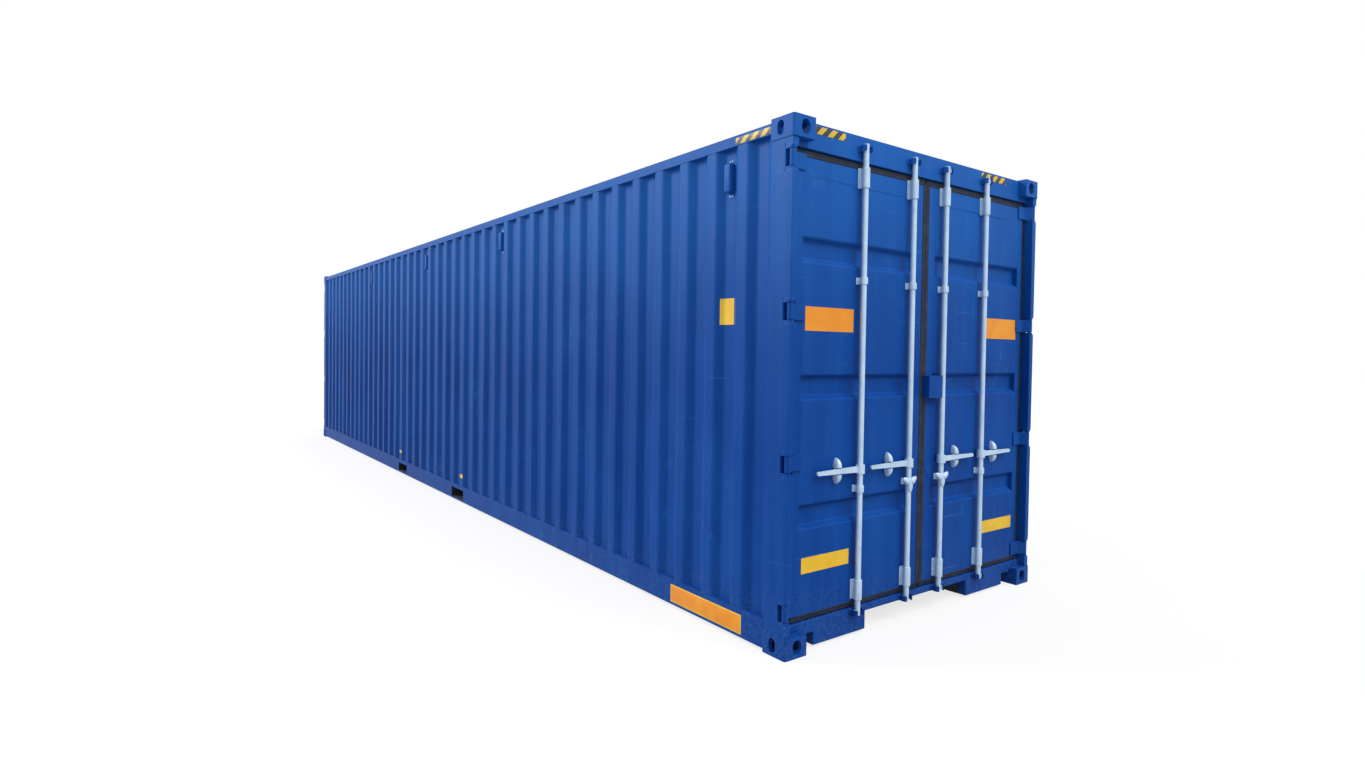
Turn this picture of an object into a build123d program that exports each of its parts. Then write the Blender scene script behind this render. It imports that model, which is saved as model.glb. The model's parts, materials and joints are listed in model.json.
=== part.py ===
# A forty-foot high-cube shipping container with doors and a gooseneck tunnel.
# Millimetres. The origin is on the ground under the middle of the container.
# X runs along it towards the end with the tunnel, Z is up, and a person who
# faces that end has the left door at -Y and the right door at +Y.

import os
from math import cos, radians, sin
from build123d import *

os.makedirs("parts", exist_ok=True)

# Overall size, and one overrun that serves all cuts
length = 12192.0
width = 2438.0
height = 2896.0
overrun = 10.0

# Corner castings
casting_length = 178.0
casting_width = 162.0
casting_height = 118.0
casting_wall = 28.0
casting_inner_wall = 16.0
casting_edge_radius = 14.0
aperture_end_inset = 103.5
aperture_side_inset = 89.5
aperture_length = 124.5
aperture_width = 63.5
side_hole_width = 51.0
end_hole_width = 63.5
hole_height = 79.5
hole_centre_height = 59.0

# Corner posts, drawn in plan for the corner at +X and +Y
post_end_setback = 8.0
side_setback = 4.0
post_face_width = 44.0
post_stop_x_inset = 124.0
post_stop_width = 41.0
post_wall = 6.0
post_rib_inset = 66.0
post_rib = 12.0

# Side walls and roof, pressed from sheet
sheet = 2.0
wall_setback = 6.0
wall_pitch = 283.0
wall_crest = 84.0
wall_slope = 57.0
wall_depth = 36.0
roof_pitch = 209.0
roof_crest = 91.0
roof_slope = 13.5
roof_depth = 20.0
roof_drop = 28.0

# Top and bottom side rails
top_rail_size = 60.0
top_rail_wall = 3.0
top_rail_drop = 19.0
bottom_rail_low = 17.0
bottom_rail_height = 162.0
bottom_rail_wall = 4.5
bottom_rail_top_flange = 48.0
bottom_rail_low_flange = 30.0

# Floor, cross members, fork pockets and gooseneck tunnel
floor_top = 170.0
board = 28.0
floor_edge_gap = 4.0
member_pitch = 305.0
member_flange = 45.0
member_wall = 4.0
pocket_centre = 1025.0
pocket_width = 360.0
pocket_low = 34.0
pocket_height = 104.0
pocket_wall = 4.0
pocket_strap_depth = 200.0
tunnel_width = 1029.0
tunnel_height = 120.0
tunnel_length = 3315.0
tunnel_wall = 4.0
tunnel_low = 13.0

# Door opening, header and sill
opening_low = 160.0
opening_top = 2745.0
end_face_setback = 56.0
sill_wall = 6.0
sill_low = 13.0
sill_notch_width = 107.0
sill_notch_height = 90.0
header_wall = 5.0
header_drop = 6.0

# Door leaves and their gaskets
leaf_face_setback = 64.0
leaf_depth = 50.0
leaf_wall = 3.2
leaf_outer_edge = 1126.0
leaf_inner_edge = 20.0
leaf_low = 190.0
leaf_top = 2715.0
stile_outer_width = 50.0
stile_inner_width = 80.0
leaf_rail_height = 115.0
rib_heights = (738.0, 1452.0, 2204.0)
rib_height = 136.0
rib_slope = 22.0
rib_depth = 34.0
gasket_clearance = 5.0
gasket_centre_clearance = 6.0
gasket_depth = 36.0
gasket_face_setback = 70.0

# Hinges
hinge_heights = (247.0, 1045.0, 1860.0, 2670.0)
hinge_pin_radius = 11.0
hinge_pin_clearance = 0.5
hinge_end_inset = 28.0
hinge_side_inset = 24.0
knuckle_radius = 18.0
knuckle_length = 90.0
knuckle_gap = 2.0
lug_radius = 20.0
lug_thickness = 12.0
hinge_notch_height = 150.0
blade_thickness = 10.0
blade_reach = 60.0
blade_rise = 24.0
blade_height = 86.0

# Lock rods, cams and keepers
rod_outer_y = 615.0
rod_inner_y = 165.0
rod_radius = 17.0
rod_end_inset = 30.0
rod_low = 124.0
rod_top = 2842.0
cam_reach = 29.0
cam_width = 28.0
cam_height = 24.0
cam_low_height = 140.0
cam_top_height = 2815.0
keeper_height = 36.0
keeper_inner_radius = 33.0
keeper_outer_radius = 38.0
keeper_gap = 50.0
keeper_base_width = 92.0
keeper_base = 6.0

# Rod bearings, handles and their catches
bearing_clearance = 0.5
bearing_radius = 24.0
bearing_web = 30.0
bearing_foot_width = 62.0
bearing_foot = 6.0
bearing_heights = (272.0, 2649.0)
bearing_length = 116.0
guide_heights = (860.0, 2060.0)
guide_length = 40.0
handle_height = 975.0
handle_length = 355.0
handle_thickness = 12.0
handle_root_height = 36.0
handle_tip_height = 22.0
hub_radius = 27.0
hub_height = 52.0
hub_clearance = 0.3
catch_offset = 172.0
catch_height = 150.0
catch_width = 56.0
catch_base = 6.0
catch_slot = 42.0
catch_front_setback = 20.0

# Lock box and ventilators
lock_box_y = 0.5
lock_box_width = 138.0
lock_box_height = 140.0
lock_box_centre = 1440.0
lock_box_depth = 52.0
lock_box_wall = 3.0
vent_recesses = (1, 13, 21, 30)
vent_width = 62.0
vent_height = 170.0
vent_centre = 2650.0

# Places worked out from the sizes above
half_length = length / 2
half_width = width / 2
inner_end = half_length - casting_length
inner_side = half_width - casting_width
post_end = half_length - post_end_setback
post_side = half_width - side_setback
post_face = post_side - post_face_width
post_stop_x = half_length - post_stop_x_inset
post_stop_y = post_face - post_stop_width
rib_face = half_length - post_rib_inset
wall_side = half_width - wall_setback
end_face = half_length - end_face_setback
sill_depth = end_face - post_stop_x
header_depth = end_face - inner_end
leaf_face = half_length - leaf_face_setback
leaf_back = leaf_face - leaf_depth
rod_x = half_length - rod_end_inset
hinge_x = half_length - hinge_end_inset
hinge_y = half_width - hinge_side_inset
top_rail_top = height - top_rail_drop
top_rail_low = top_rail_top - top_rail_size
bottom_rail_top = bottom_rail_low + bottom_rail_height
member_low = bottom_rail_low + bottom_rail_wall
member_top = floor_top - board
rail_inner = post_side - bottom_rail_wall
floor_half = wall_side - wall_depth - sheet - floor_edge_gap
tunnel_end = end_face - sill_depth - tunnel_length
casting_top = height - casting_height


def corrugation(start, end, pitch, crest, slope):
    """Points of a trapezoid wave that starts and ends with a recess."""
    count = max(1, round((end - start + crest) / pitch))
    step = (end - start + crest) / count
    floor = step - crest - 2 * slope
    points = []
    for number in range(count):
        base = start + number * step
        points.append((base, 0))
        points.append((base + slope, 1))
        points.append((base + slope + floor, 1))
        points.append((base + 2 * slope + floor, 0))
    return points


def recess_centre(number):
    """Middle of a recess of the side wall, counted from the tunnel end."""
    count = max(1, round((2 * inner_end + wall_crest) / wall_pitch))
    step = (2 * inner_end + wall_crest) / count
    return inner_end - (number + 0.5) * step + wall_crest / 2


# Corner castings: hollow blocks with a slot in the horizontal face, and a
# hole in the end and in the side
with BuildPart() as bottom_casting:
    with Locations((half_length - casting_length / 2, half_width - casting_width / 2, 0)):
        Box(casting_length, casting_width, casting_height, align=(Align.CENTER, Align.CENTER, Align.MIN))
    outer_edges = bottom_casting.edges().filter_by(Axis.Z).sort_by(Axis.X)[-2:]
    fillet(outer_edges.sort_by(Axis.Y)[-1], casting_edge_radius)
    cavity_length = casting_length - casting_wall - casting_inner_wall
    cavity_width = casting_width - casting_wall - casting_inner_wall
    cavity_height = casting_height - casting_wall - casting_inner_wall
    with Locations((inner_end + casting_inner_wall, inner_side + casting_inner_wall, casting_wall)):
        Box(cavity_length, cavity_width, cavity_height,
            align=(Align.MIN, Align.MIN, Align.MIN), mode=Mode.SUBTRACT)
    with BuildSketch(Plane.XY):
        with Locations((half_length - aperture_end_inset, half_width - aperture_side_inset)):
            SlotOverall(aperture_length, aperture_width)
    extrude(amount=casting_wall + overrun, mode=Mode.SUBTRACT)
    with BuildSketch(Plane.YZ.offset(half_length)):
        with Locations((half_width - aperture_side_inset, hole_centre_height)):
            SlotOverall(hole_height, end_hole_width, rotation=90)
    extrude(amount=-casting_wall - overrun, mode=Mode.SUBTRACT)
    with BuildSketch(Plane.XZ.offset(-half_width)):
        with Locations((half_length - aperture_end_inset, hole_centre_height)):
            SlotOverall(hole_height, side_hole_width, rotation=90)
    extrude(amount=casting_wall + overrun, mode=Mode.SUBTRACT)

with BuildPart() as near_bottom_castings:
    add(bottom_casting.part)
    mirror(bottom_casting.part, about=Plane.XZ)
near_bottom_castings.part.label = "near_bottom_castings"
export_step(near_bottom_castings.part, "parts/near_bottom_castings.step")

with BuildPart() as near_top_castings:
    mirror(near_bottom_castings.part, about=Plane.XY.offset(height / 2))
near_top_castings.part.label = "near_top_castings"
export_step(near_top_castings.part, "parts/near_top_castings.step")

# Corner posts: a pressed outer section and an inner door stop, with four
# notches where the hinge lugs stand
with BuildPart() as post:
    with BuildSketch(Plane.XY.offset(casting_height)):
        with BuildLine():
            Polyline((inner_end, post_side), (post_end, post_side), (post_end, post_face),
                     (post_stop_x, post_face), (post_stop_x, post_stop_y),
                     (inner_end, post_stop_y), close=True)
        make_face()
        with Locations(((rib_face + post_end - post_wall) / 2, (post_face + post_side) / 2)):
            Rectangle(post_end - post_wall - rib_face, post_face_width - 2 * post_wall, mode=Mode.SUBTRACT)
        with BuildLine():
            Polyline((inner_end + post_wall, post_side - post_wall),
                     (rib_face - post_rib, post_side - post_wall),
                     (rib_face - post_rib, post_face + post_wall),
                     (post_stop_x - post_wall, post_face + post_wall),
                     (post_stop_x - post_wall, post_stop_y + post_wall),
                     (inner_end + post_wall, post_stop_y + post_wall), close=True)
        make_face(mode=Mode.SUBTRACT)
    extrude(amount=casting_top - casting_height)
    with Locations(*[(rib_face, post_face - overrun, z) for z in hinge_heights]):
        Box(post_rib_inset, post_face_width + 2 * overrun, hinge_notch_height,
            align=(Align.MIN, Align.MIN, Align.CENTER), mode=Mode.SUBTRACT)

with BuildPart() as near_posts:
    add(post.part)
    mirror(post.part, about=Plane.XZ)
near_posts.part.label = "near_posts"
export_step(near_posts.part, "parts/near_posts.step")

# Hinge lugs with their pins, two lugs to a pin
with BuildPart() as hinge_lugs_one_side:
    for hinge_height in hinge_heights:
        lug_low = hinge_height - knuckle_length / 2 - knuckle_gap - lug_thickness
        lug_top = hinge_height + knuckle_length / 2 + knuckle_gap
        for lug_z in (lug_low, lug_top):
            with BuildSketch(Plane.XY.offset(lug_z)):
                with Locations((hinge_x, hinge_y)):
                    Circle(lug_radius)
                with Locations(((rib_face + hinge_x) / 2, hinge_y)):
                    Rectangle(hinge_x - rib_face, 2 * lug_radius)
            extrude(amount=lug_thickness)
        with BuildSketch(Plane.XY.offset(lug_low)):
            with Locations((hinge_x, hinge_y)):
                Circle(hinge_pin_radius)
        extrude(amount=lug_top + lug_thickness - lug_low)

with BuildPart() as near_hinge_lugs:
    add(hinge_lugs_one_side.part)
    mirror(hinge_lugs_one_side.part, about=Plane.XZ)
near_hinge_lugs.part.label = "near_hinge_lugs"
export_step(near_hinge_lugs.part, "parts/near_hinge_lugs.step")

# Door header: a box beam between the top castings on a lower bar between
# the posts
header_top = height - header_drop
with BuildPart() as near_header:
    with BuildSketch(Plane.XZ.offset(-inner_side)):
        with Locations((end_face - header_depth / 2, (casting_top + header_top) / 2)):
            Rectangle(header_depth, header_top - casting_top)
            Rectangle(header_depth - 2 * header_wall, header_top - casting_top - 2 * header_wall,
                      mode=Mode.SUBTRACT)
    extrude(amount=2 * inner_side)
    with BuildSketch(Plane.XZ.offset(-post_face)):
        with Locations((end_face - sill_depth / 2, (casting_top + opening_top) / 2)):
            Rectangle(sill_depth, casting_top - opening_top)
            Rectangle(sill_depth - 2 * header_wall, casting_top - opening_top - 2 * header_wall,
                      mode=Mode.SUBTRACT)
    extrude(amount=2 * post_face)
near_header.part.label = "near_header"
export_step(near_header.part, "parts/near_header.step")


def sill_outline(low_half_gap, low_gap_top):
    """Front view of a sill, with a notch by each casting and a middle gap."""
    notch_edge = inner_side - sill_notch_width
    right = [(low_half_gap, low_gap_top), (low_half_gap, sill_low), (notch_edge, sill_low),
             (notch_edge, sill_notch_height), (inner_side, sill_notch_height),
             (inner_side, casting_height), (post_face, casting_height), (post_face, opening_low)]
    left = [(-y, z) for y, z in reversed(right)]
    return right + left


def hollow_sill(points):
    """Extrude an outline through the sill's depth and hollow it."""
    with BuildPart() as sill:
        with BuildSketch(Plane.YZ.offset(end_face - sill_depth)):
            with BuildLine():
                Polyline(*points, close=True)
            make_face()
        extrude(amount=sill_depth)
        with BuildSketch(Plane.YZ.offset(end_face - sill_depth + sill_wall)):
            with BuildLine():
                Polyline(*points, close=True)
            make_face()
            offset(amount=-sill_wall, kind=Kind.INTERSECTION, mode=Mode.REPLACE)
        extrude(amount=sill_depth - 2 * sill_wall, mode=Mode.SUBTRACT)
    return sill.part


# Sills: the near one is cut away over the gooseneck tunnel
near_sill_part = hollow_sill(sill_outline(tunnel_width / 2, tunnel_height))
near_sill_part.label = "near_sill"
export_step(near_sill_part, "parts/near_sill.step")

far_outline = [point for point in sill_outline(tunnel_width / 2, sill_low)
               if abs(point[0]) != tunnel_width / 2]
far_sill_part = mirror(hollow_sill(far_outline), about=Plane.YZ)
far_sill_part.label = "far_sill"
export_step(far_sill_part, "parts/far_sill.step")

# Top side rails: square tubes between the castings
with BuildPart() as top_rails:
    with BuildSketch(Plane.YZ.offset(-inner_end)):
        with Locations((post_side - top_rail_size / 2, top_rail_low + top_rail_size / 2),
                       (-post_side + top_rail_size / 2, top_rail_low + top_rail_size / 2)):
            Rectangle(top_rail_size, top_rail_size)
            Rectangle(top_rail_size - 2 * top_rail_wall, top_rail_size - 2 * top_rail_wall,
                      mode=Mode.SUBTRACT)
    extrude(amount=2 * inner_end)
top_rails.part.label = "top_rails"
export_step(top_rails.part, "parts/top_rails.step")

# Bottom side rails: channels that open inwards, cut at the fork pockets
with BuildPart() as bottom_rail:
    with BuildSketch(Plane.YZ.offset(-inner_end)):
        with BuildLine():
            Polyline((post_side, bottom_rail_low), (post_side, bottom_rail_top),
                     (post_side - bottom_rail_top_flange, bottom_rail_top),
                     (post_side - bottom_rail_top_flange, bottom_rail_top - bottom_rail_wall),
                     (rail_inner, bottom_rail_top - bottom_rail_wall),
                     (rail_inner, bottom_rail_low + bottom_rail_wall),
                     (post_side - bottom_rail_low_flange, bottom_rail_low + bottom_rail_wall),
                     (post_side - bottom_rail_low_flange, bottom_rail_low), close=True)
        make_face()
    extrude(amount=2 * inner_end)
    with Locations((pocket_centre, post_side, pocket_low), (-pocket_centre, post_side, pocket_low)):
        Box(pocket_width, 2 * bottom_rail_top_flange, pocket_height,
            align=(Align.CENTER, Align.CENTER, Align.MIN), mode=Mode.SUBTRACT)

with BuildPart() as bottom_rails:
    add(bottom_rail.part)
    mirror(bottom_rail.part, about=Plane.XZ)
bottom_rails.part.label = "bottom_rails"
export_step(bottom_rails.part, "parts/bottom_rails.step")

# Side walls: corrugated sheet between the rails and the posts
wave = corrugation(-inner_end, inner_end, wall_pitch, wall_crest, wall_slope)
outer_line = [(x, wall_side - depth * wall_depth) for x, depth in wave]
inner_line = [(x, y - sheet) for x, y in reversed(outer_line)]
with BuildPart() as right_side_wall:
    with BuildSketch(Plane.XY.offset(bottom_rail_top)):
        with BuildLine():
            Polyline(*(outer_line + inner_line), close=True)
        make_face()
    extrude(amount=top_rail_low - bottom_rail_top)
right_side_wall.part.label = "right_side_wall"
export_step(right_side_wall.part, "parts/right_side_wall.step")

with BuildPart() as left_side_wall:
    mirror(right_side_wall.part, about=Plane.XZ)
left_side_wall.part.label = "left_side_wall"
export_step(left_side_wall.part, "parts/left_side_wall.step")

# Roof: sheet with cross corrugations between the rails and the headers
roof_end = inner_end
roof_base = height - roof_drop
roof_half = post_side - top_rail_size
roof_wave = corrugation(-roof_end, roof_end, roof_pitch, roof_crest, roof_slope)
roof_upper = [(x, roof_base + (1 - depth) * roof_depth) for x, depth in roof_wave]
roof_lower = [(x, z - sheet) for x, z in reversed(roof_upper)]
with BuildPart() as roof:
    with BuildSketch(Plane.XZ.offset(-roof_half)):
        with BuildLine():
            Polyline(*(roof_upper + roof_lower), close=True)
        make_face()
    extrude(amount=2 * roof_half)
roof.part.label = "roof"
export_step(roof.part, "parts/roof.step")

# Cross members: channels under the floor, cut short beside the tunnel
member_end = end_face - sill_depth
member_count = max(2, round(2 * member_end / member_pitch))
member_step = 2 * member_end / member_count
member_places = [-member_end + number * member_step for number in range(1, member_count)]
pocket_reach = pocket_width / 2 + pocket_wall
member_middle = (member_low + member_top) / 2
clear_places = [x for x in member_places if abs(abs(x) - pocket_centre) > pocket_reach + member_flange]
long_places = [(x, member_middle) for x in clear_places if x <= tunnel_end - member_flange]
short_places = [(x, member_middle) for x in clear_places if x > tunnel_end - member_flange]
tunnel_side = tunnel_width / 2 + tunnel_wall
with BuildPart() as cross_members:
    for places, start, run in ((long_places, -rail_inner, 2 * rail_inner),
                               (short_places, tunnel_side, rail_inner - tunnel_side),
                               (short_places, -rail_inner, rail_inner - tunnel_side)):
        with BuildSketch(Plane.XZ.offset(-start)):
            with Locations(*places):
                Rectangle(member_flange, member_top - member_low, align=(Align.MIN, Align.CENTER))
                with Locations((member_wall, 0)):
                    Rectangle(member_flange, member_top - member_low - 2 * member_wall,
                              align=(Align.MIN, Align.CENTER), mode=Mode.SUBTRACT)
        extrude(amount=-run)
cross_members.part.label = "cross_members"
export_step(cross_members.part, "parts/cross_members.step")

# Fork pockets: two side webs, a top plate and end straps to each pocket
with BuildPart() as fork_pockets:
    for pocket_x in (-pocket_centre, pocket_centre):
        with BuildSketch(Plane.XZ.offset(-rail_inner)):
            with Locations((pocket_x, (member_low + member_top) / 2)):
                Rectangle(2 * pocket_reach, member_top - member_low)
                Rectangle(pocket_width, member_top - member_low, mode=Mode.SUBTRACT)
            with Locations((pocket_x, (pocket_low + pocket_height + member_top) / 2)):
                Rectangle(pocket_width, member_top - pocket_low - pocket_height)
        extrude(amount=2 * rail_inner)
        for side in (-1, 1):
            with Locations((pocket_x, side * (rail_inner - pocket_strap_depth / 2),
                            (member_low + pocket_low) / 2)):
                Box(pocket_width, pocket_strap_depth, pocket_low - member_low)
fork_pockets.part.label = "fork_pockets"
export_step(fork_pockets.part, "parts/fork_pockets.step")

# Gooseneck tunnel: a plate with two side webs, and bows that carry the floor
sill_back = end_face - sill_depth
with BuildPart() as gooseneck_tunnel:
    with BuildSketch(Plane.YZ.offset(tunnel_end)):
        with Locations((0, (tunnel_low + tunnel_height + tunnel_wall) / 2)):
            Rectangle(tunnel_width + 2 * tunnel_wall, tunnel_height + tunnel_wall - tunnel_low)
        with Locations((0, (tunnel_low + tunnel_height) / 2)):
            Rectangle(tunnel_width, tunnel_height - tunnel_low, mode=Mode.SUBTRACT)
    extrude(amount=sill_back - tunnel_end)
    for member_x in member_places:
        if member_x > tunnel_end:
            with Locations((member_x, 0, tunnel_height + tunnel_wall)):
                Box(member_flange, tunnel_width + 2 * tunnel_wall, member_top - tunnel_height - tunnel_wall,
                    align=(Align.MIN, Align.CENTER, Align.MIN))
gooseneck_tunnel.part.label = "gooseneck_tunnel"
export_step(gooseneck_tunnel.part, "parts/gooseneck_tunnel.step")

# Floor of boards, between the sills
with BuildPart() as floor:
    with Locations((0, 0, member_top)):
        Box(2 * inner_end, 2 * floor_half, board, align=(Align.CENTER, Align.CENTER, Align.MIN))
floor.part.label = "floor"
export_step(floor.part, "parts/floor.step")

# Cam keepers on the header and the sill
rod_places = (-rod_outer_y, -rod_inner_y, rod_inner_y, rod_outer_y)
with BuildPart() as near_keepers:
    for rod_y in rod_places:
        for cam_z in (cam_low_height, cam_top_height):
            with BuildSketch(Plane.XY.offset(cam_z - keeper_height / 2)):
                with Locations((rod_x, rod_y)):
                    Circle(keeper_outer_radius)
                    Circle(keeper_inner_radius, mode=Mode.SUBTRACT)
                with Locations((rod_x + keeper_outer_radius, rod_y)):
                    Rectangle(2 * keeper_inner_radius, keeper_gap, mode=Mode.SUBTRACT)
                with Locations((end_face - keeper_outer_radius / 2, rod_y)):
                    Rectangle(keeper_outer_radius, 2 * keeper_outer_radius, mode=Mode.SUBTRACT)
                with Locations((end_face + keeper_base / 2, rod_y)):
                    Rectangle(keeper_base, keeper_base_width)
            extrude(amount=keeper_height)
near_keepers.part.label = "near_keepers"
export_step(near_keepers.part, "parts/near_keepers.step")


# Door leaves with their hardware, modelled for the right leaf and mirrored
opening_half = post_face
gasket_edge = opening_half - gasket_clearance
gasket_low = opening_low + gasket_clearance
gasket_top = opening_top - gasket_clearance
gasket_face = half_length - gasket_face_setback

with BuildPart() as door_frame:
    leaf_mid_y = (leaf_inner_edge + leaf_outer_edge) / 2
    leaf_mid_z = (leaf_low + leaf_top) / 2
    leaf_wide = leaf_outer_edge - leaf_inner_edge
    leaf_tall = leaf_top - leaf_low
    window_mid_y = (leaf_inner_edge + stile_inner_width + leaf_outer_edge - stile_outer_width) / 2
    window_wide = leaf_wide - stile_inner_width - stile_outer_width
    window_tall = leaf_tall - 2 * leaf_rail_height
    with BuildSketch(Plane.YZ.offset(leaf_back)):
        with Locations((leaf_mid_y, leaf_mid_z)):
            Rectangle(leaf_wide, leaf_tall)
        with Locations((window_mid_y, leaf_mid_z)):
            Rectangle(window_wide, window_tall, mode=Mode.SUBTRACT)
    extrude(amount=leaf_depth)
    with BuildSketch(Plane.YZ.offset(leaf_back + leaf_wall)):
        with Locations((leaf_mid_y, leaf_mid_z)):
            Rectangle(leaf_wide - 2 * leaf_wall, leaf_tall - 2 * leaf_wall)
        with Locations((window_mid_y, leaf_mid_z)):
            Rectangle(window_wide + 2 * leaf_wall, window_tall + 2 * leaf_wall, mode=Mode.SUBTRACT)
    extrude(amount=leaf_depth - 2 * leaf_wall, mode=Mode.SUBTRACT)

panel_low = leaf_low + leaf_rail_height
panel_top = leaf_top - leaf_rail_height
panel_points = [(leaf_face, panel_low)]
for rib_z in rib_heights:
    panel_points.append((leaf_face, rib_z - rib_height / 2))
    panel_points.append((leaf_face - rib_depth, rib_z - rib_height / 2 + rib_slope))
    panel_points.append((leaf_face - rib_depth, rib_z + rib_height / 2 - rib_slope))
    panel_points.append((leaf_face, rib_z + rib_height / 2))
panel_points.append((leaf_face, panel_top))
panel_back = [(x - sheet, z) for x, z in reversed(panel_points)]
with BuildPart() as door_panel:
    with BuildSketch(Plane.XZ.offset(-window_mid_y - window_wide / 2)):
        with BuildLine():
            Polyline(*(panel_points + panel_back), close=True)
        make_face()
    extrude(amount=window_wide)

with BuildPart() as door_gasket:
    with BuildSketch(Plane.YZ.offset(gasket_face - gasket_depth)):
        with Locations(((gasket_centre_clearance + gasket_edge) / 2, (gasket_low + gasket_top) / 2)):
            Rectangle(gasket_edge - gasket_centre_clearance, gasket_top - gasket_low)
        with Locations((leaf_mid_y, leaf_mid_z)):
            Rectangle(leaf_wide, leaf_tall, mode=Mode.SUBTRACT)
    extrude(amount=gasket_depth)

with BuildPart() as hinge_blades:
    for hinge_height in hinge_heights:
        with BuildSketch(Plane.XY.offset(hinge_height - knuckle_length / 2)):
            with BuildLine():
                Polyline((leaf_face, leaf_outer_edge - blade_reach),
                         (leaf_face + blade_thickness, leaf_outer_edge - blade_reach),
                         (leaf_face + blade_thickness, leaf_outer_edge + blade_rise),
                         (hinge_x + knuckle_radius * cos(radians(45)),
                          hinge_y - knuckle_radius * sin(radians(45))),
                         (hinge_x, hinge_y),
                         (hinge_x - knuckle_radius * cos(radians(45)),
                          hinge_y + knuckle_radius * sin(radians(45))),
                         (leaf_face, leaf_outer_edge + blade_rise), close=True)
            make_face()
            with Locations((hinge_x, hinge_y)):
                Circle(knuckle_radius)
                Circle(hinge_pin_radius + hinge_pin_clearance, mode=Mode.SUBTRACT)
        extrude(amount=knuckle_length)

with BuildPart() as rod_bearings:
    bearing_rows = [(z, bearing_length) for z in bearing_heights]
    guide_rows = [(z, guide_length) for z in guide_heights]
    for rod_y in (rod_inner_y, rod_outer_y):
        for row_z, row_length in bearing_rows + guide_rows:
            with BuildSketch(Plane.XY.offset(row_z - row_length / 2)):
                with Locations((rod_x, rod_y)):
                    Circle(bearing_radius)
                with Locations(((leaf_face + rod_x) / 2, rod_y)):
                    Rectangle(rod_x - leaf_face, bearing_web)
                with Locations((leaf_face + bearing_foot / 2, rod_y)):
                    Rectangle(bearing_foot, bearing_foot_width)
                with Locations((rod_x, rod_y)):
                    Circle(rod_radius + bearing_clearance, mode=Mode.SUBTRACT)
            extrude(amount=row_length)

with BuildPart() as handle_catches:
    catch_front = half_length - catch_front_setback
    for rod_y in (rod_inner_y, rod_outer_y):
        catch_y = rod_y + catch_offset
        with BuildSketch(Plane.YZ.offset(leaf_face)):
            with Locations((catch_y, handle_height)):
                SlotOverall(catch_height, catch_width, rotation=90)
        extrude(amount=catch_base)
        with BuildSketch(Plane.YZ.offset(leaf_face)):
            with Locations((catch_y, handle_height)):
                SlotOverall(catch_height, catch_width, rotation=90)
                Rectangle(2 * catch_width, catch_slot, mode=Mode.SUBTRACT)
        extrude(amount=catch_front - leaf_face)

with BuildPart() as lock_box:
    with Locations((leaf_face, lock_box_y, lock_box_centre)):
        Box(lock_box_depth, lock_box_width, lock_box_height, align=(Align.MIN, Align.MIN, Align.CENTER))
    with Locations((leaf_face + lock_box_wall, lock_box_y + lock_box_wall,
                    lock_box_centre - lock_box_wall)):
        Box(lock_box_depth - 2 * lock_box_wall, lock_box_width - 2 * lock_box_wall, lock_box_height,
            align=(Align.MIN, Align.MIN, Align.CENTER), mode=Mode.SUBTRACT)
lock_box.part.label = "lock_box"
export_step(lock_box.part, "parts/lock_box.step")

for side_name, keep_side in (("right", True), ("left", False)):
    for piece_name, piece in (("door_frame", door_frame), ("door_panel", door_panel),
                              ("gasket", door_gasket), ("hinge_blades", hinge_blades),
                              ("rod_bearings", rod_bearings), ("handle_catches", handle_catches)):
        with BuildPart() as sided:
            if keep_side:
                add(piece.part)
            else:
                mirror(piece.part, about=Plane.XZ)
        sided.part.label = f"{side_name}_{piece_name}"
        export_step(sided.part, f"parts/{side_name}_{piece_name}.step")

# Lock rods with a cam at each end, and the handles that turn them
rod_parts = []
handle_parts = []
for rod_name, rod_y, outward in (("left_outer", -rod_outer_y, -1), ("left_inner", -rod_inner_y, -1),
                                 ("right_inner", rod_inner_y, 1), ("right_outer", rod_outer_y, 1)):
    with BuildPart() as rod:
        with BuildSketch(Plane.XY.offset(rod_low)):
            with Locations((rod_x, rod_y)):
                Circle(rod_radius)
        extrude(amount=rod_top - rod_low)
        for cam_z in (cam_low_height, cam_top_height):
            with BuildSketch(Plane.XY.offset(cam_z - cam_height / 2)):
                with Locations((rod_x, rod_y)):
                    Circle(cam_reach)
                with Locations((rod_x, rod_y + outward * cam_reach / 2)):
                    Rectangle(cam_width, cam_reach, mode=Mode.INTERSECT)
            extrude(amount=cam_height)
    rod.part.label = f"{rod_name}_rod"
    export_step(rod.part, f"parts/{rod_name}_rod.step")
    rod_parts.append(rod.part)

    with BuildPart() as handle:
        hub_edge = rod_y + outward * rod_radius
        tip_centre = rod_y + outward * (handle_length - handle_tip_height / 2)
        with BuildSketch(Plane.YZ.offset(rod_x - handle_thickness / 2)):
            with BuildLine():
                Polyline((hub_edge, handle_height - handle_root_height / 2),
                         (tip_centre, handle_height - handle_tip_height / 2),
                         (tip_centre, handle_height + handle_tip_height / 2),
                         (hub_edge, handle_height + handle_root_height / 2), close=True)
            make_face()
            with Locations((tip_centre, handle_height)):
                Circle(handle_tip_height / 2)
        extrude(amount=handle_thickness)
        with BuildSketch(Plane.XY.offset(handle_height - hub_height / 2)):
            with Locations((rod_x, rod_y)):
                Circle(hub_radius)
        extrude(amount=hub_height)
        with BuildSketch(Plane.XY.offset(handle_height - hub_height)):
            with Locations((rod_x, rod_y)):
                Circle(rod_radius + hub_clearance)
        extrude(amount=2 * hub_height, mode=Mode.SUBTRACT)
    handle.part.label = f"{rod_name}_handle"
    export_step(handle.part, f"parts/{rod_name}_handle.step")
    handle_parts.append(handle.part)

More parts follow.
